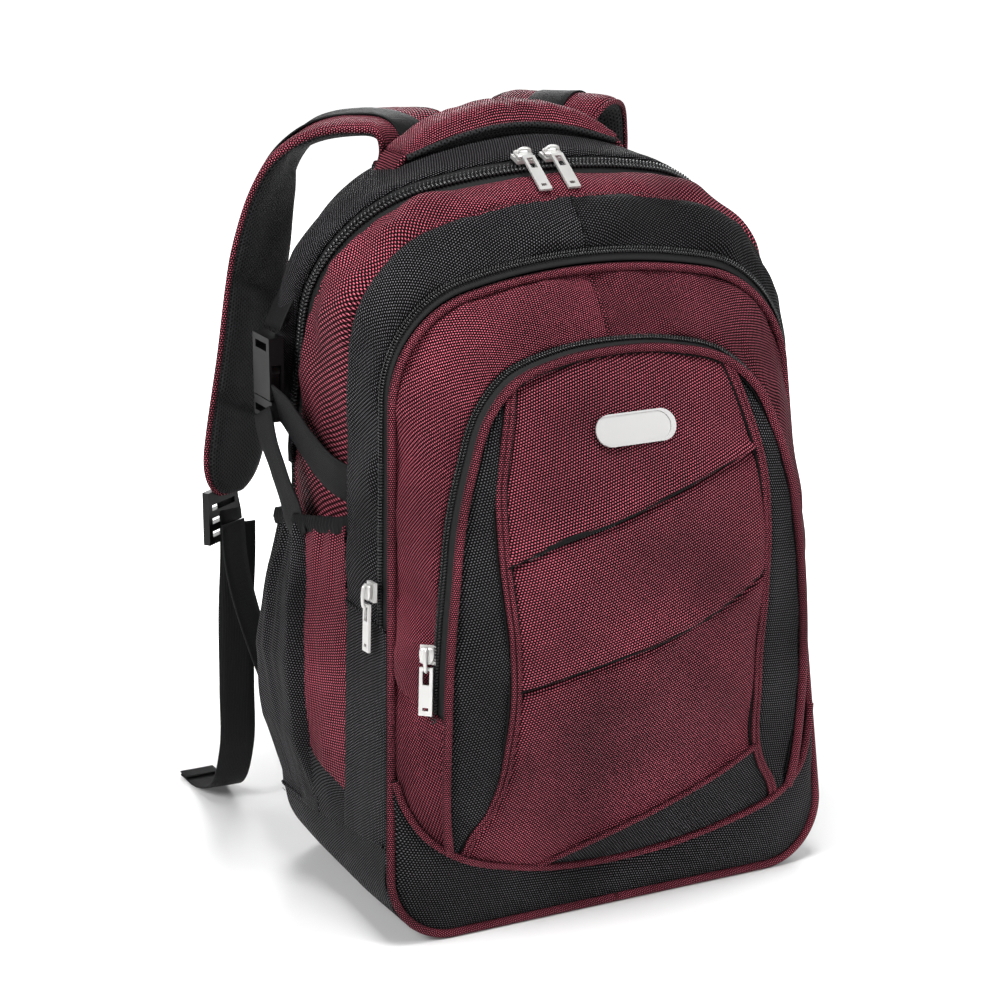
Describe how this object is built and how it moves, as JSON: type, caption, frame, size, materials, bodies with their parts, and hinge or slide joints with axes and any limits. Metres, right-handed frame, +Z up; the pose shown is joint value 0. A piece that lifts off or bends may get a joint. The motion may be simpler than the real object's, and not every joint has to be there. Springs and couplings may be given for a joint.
{
  "type": "travel backpack",
  "caption": "Travel backpack with zipped compartments, a front pocket, elastic side pockets, padded shoulder straps, a grab handle and side compression straps.",
  "frame": {"origin": "centre of the base, on the surface that the backpack stands on", "axes": "+Z up, the front faces -Y, the back panel faces +Y, the wearer's left is -X"},
  "size_m": [0.3728, 0.3757, 0.496],
  "materials": {
    "burgundy_cloth": "coarse woven polyester, slight sheen",
    "black_cloth": "coarse woven polyester, slight sheen",
    "burgundy_piping": "woven piping",
    "zip_tape": "flat woven tape with nylon coil",
    "spacer_mesh": "open air mesh",
    "webbing": "flat ribbed webbing",
    "elastic": "gathered elastic tape",
    "lining": "smooth lining cloth",
    "board": "plain sheet",
    "black_plastic": "moulded, fine texture",
    "nickel": "nickel plate, satin",
    "plate_metal": "satin, pale"
  },
  "bodies": {
    "bag": {"back_board": "board", "back_pads": "spacer_mesh", "back_panel": "black_cloth", "base_board": "board", "base_boot": "black_cloth", "bottle_pocket_left": "burgundy_cloth", "bottle_pocket_right": "burgundy_cloth", "bottom_band": "black_cloth", "buckle_socket_left": "black_plastic", "buckle_socket_right": "black_plastic", "divider": "lining", "front_gusset": "black_cloth", "handle_anchors": "black_cloth", "laptop_sleeve": "lining", "logo_plate": "plate_metal", "lower_webbing_left": "webbing", "lower_webbing_right": "webbing", "main_shell": "burgundy_cloth", "main_zip": "zip_tape", "middle_face": "burgundy_cloth", "middle_piping": "burgundy_piping", "middle_zip": "zip_tape", "pocket_binding_left": "elastic", "pocket_binding_right": "elastic", "pocket_centre": "burgundy_cloth", "pocket_piping": "burgundy_piping", "pocket_side_left": "black_cloth", "pocket_side_right": "black_cloth", "pocket_zip": "zip_tape", "rear_gusset": "black_cloth", "side_strap_anchors": "webbing", "side_strap_left": "webbing", "side_strap_right": "webbing", "strap_yoke": "spacer_mesh", "webbing_tail_left": "webbing", "webbing_tail_right": "webbing"},
    "handle": {"handle": "burgundy_cloth"},
    "strap_left": {"shoulder_strap_left": "burgundy_cloth", "strap_band_left": "webbing", "ladder_lock_left": "black_plastic"},
    "strap_right": {"shoulder_strap_right": "burgundy_cloth", "strap_band_right": "webbing", "ladder_lock_right": "black_plastic"},
    "main_slider_left": {"main_slider_left": "nickel"},
    "main_slider_right": {"main_slider_right": "nickel"},
    "middle_slider": {"middle_slider": "nickel"},
    "pocket_slider": {"pocket_slider": "nickel"},
    "main_puller_left": {"main_puller_left": "nickel"},
    "main_puller_right": {"main_puller_right": "nickel"},
    "middle_puller": {"middle_puller": "nickel"},
    "pocket_puller": {"pocket_puller": "nickel"},
    "plug_left": {"buckle_plug_left": "black_plastic", "side_tail_left": "webbing"},
    "plug_right": {"buckle_plug_right": "black_plastic", "side_tail_right": "webbing"},
    "latch_left_front": {"latch_left_front": "black_plastic"},
    "latch_left_rear": {"latch_left_rear": "black_plastic"},
    "latch_right_front": {"latch_right_front": "black_plastic"},
    "latch_right_rear": {"latch_right_rear": "black_plastic"}
  },
  "joints": [
    {"name": "handle_tilt", "type": "hinge", "parent": "bag", "child": "handle", "pos_m": [0, 0.075, 0.466], "axis": [1, 0, 0], "range_deg": [-9, 9]},
    {"name": "strap_left_swing", "type": "hinge", "parent": "bag", "child": "strap_left", "pos_m": [-0.046, 0.116, 0.468], "axis": [0, 0, 1], "range_deg": [-18, 6]},
    {"name": "strap_right_swing", "type": "hinge", "parent": "bag", "child": "strap_right", "pos_m": [0.046, 0.118, 0.468], "axis": [0, 0, -1], "range_deg": [-18, 6]},
    {"name": "main_slider_left_run", "type": "hinge", "parent": "bag", "child": "main_slider_left", "pos_m": [0, 0.1446, 0.1504], "axis": [0, -0.927, -0.375], "range_deg": [0, 9]},
    {"name": "main_slider_right_run", "type": "hinge", "parent": "bag", "child": "main_slider_right", "pos_m": [0, 0.1446, 0.1504], "axis": [0, 0.927, 0.375], "range_deg": [0, 10]},
    {"name": "main_puller_left_flip", "type": "hinge", "parent": "main_slider_left", "child": "main_puller_left", "pos_m": [-0.014, 0.013, 0.4696], "axis": [-1, 0, 0], "range_deg": [0, 140]},
    {"name": "main_puller_right_flip", "type": "hinge", "parent": "main_slider_right", "child": "main_puller_right", "pos_m": [0.006, 0.013, 0.4696], "axis": [-1, 0, 0], "range_deg": [0, 140]},
    {"name": "middle_slider_run", "type": "slide", "parent": "bag", "child": "middle_slider", "axis": [0.062, 0.071, 0.9956], "range_m": [0, 0.1]},
    {"name": "middle_puller_flip", "type": "hinge", "parent": "middle_slider", "child": "middle_puller", "pos_m": [-0.157, -0.0515, 0.217], "axis": [0, 1, 0], "range_deg": [0, 140]},
    {"name": "pocket_slider_run", "type": "slide", "parent": "bag", "child": "pocket_slider", "axis": [0.067, 0.077, 0.9948], "range_m": [0, 0.09]},
    {"name": "pocket_puller_flip", "type": "hinge", "parent": "pocket_slider", "child": "pocket_puller", "pos_m": [-0.136, -0.0906, 0.185], "axis": [-0.7317, 0.6816, 0], "range_deg": [0, 140]},
    {"name": "buckle_left_release", "type": "slide", "parent": "bag", "child": "plug_left", "axis": [0, 0, -1], "range_m": [0, 0.02]},
    {"name": "latch_left_front_squeeze", "type": "hinge", "parent": "plug_left", "child": "latch_left_front", "pos_m": [-0.164, 0.0711, 0.318], "axis": [-1, 0, 0], "range_deg": [0, 9.5]},
    {"name": "latch_left_rear_squeeze", "type": "hinge", "parent": "plug_left", "child": "latch_left_rear", "pos_m": [-0.164, 0.0889, 0.318], "axis": [1, 0, 0], "range_deg": [0, 9.5]},
    {"name": "buckle_right_release", "type": "slide", "parent": "bag", "child": "plug_right", "axis": [0, 0, -1], "range_m": [0, 0.02]},
    {"name": "latch_right_front_squeeze", "type": "hinge", "parent": "plug_right", "child": "latch_right_front", "pos_m": [0.164, 0.0711, 0.318], "axis": [-1, 0, 0], "range_deg": [0, 9.5]},
    {"name": "latch_right_rear_squeeze", "type": "hinge", "parent": "plug_right", "child": "latch_right_rear", "pos_m": [0.164, 0.0889, 0.318], "axis": [1, 0, 0], "range_deg": [0, 9.5]}
  ],
  "couplings": [
    {"joint": "latch_left_front_squeeze", "follows": "buckle_left_release", "rad_per_m": 7.85},
    {"joint": "latch_left_rear_squeeze", "follows": "buckle_left_release", "rad_per_m": 7.85},
    {"joint": "latch_right_front_squeeze", "follows": "buckle_right_release", "rad_per_m": 7.85},
    {"joint": "latch_right_rear_squeeze", "follows": "buckle_right_release", "rad_per_m": 7.85}
  ]
}
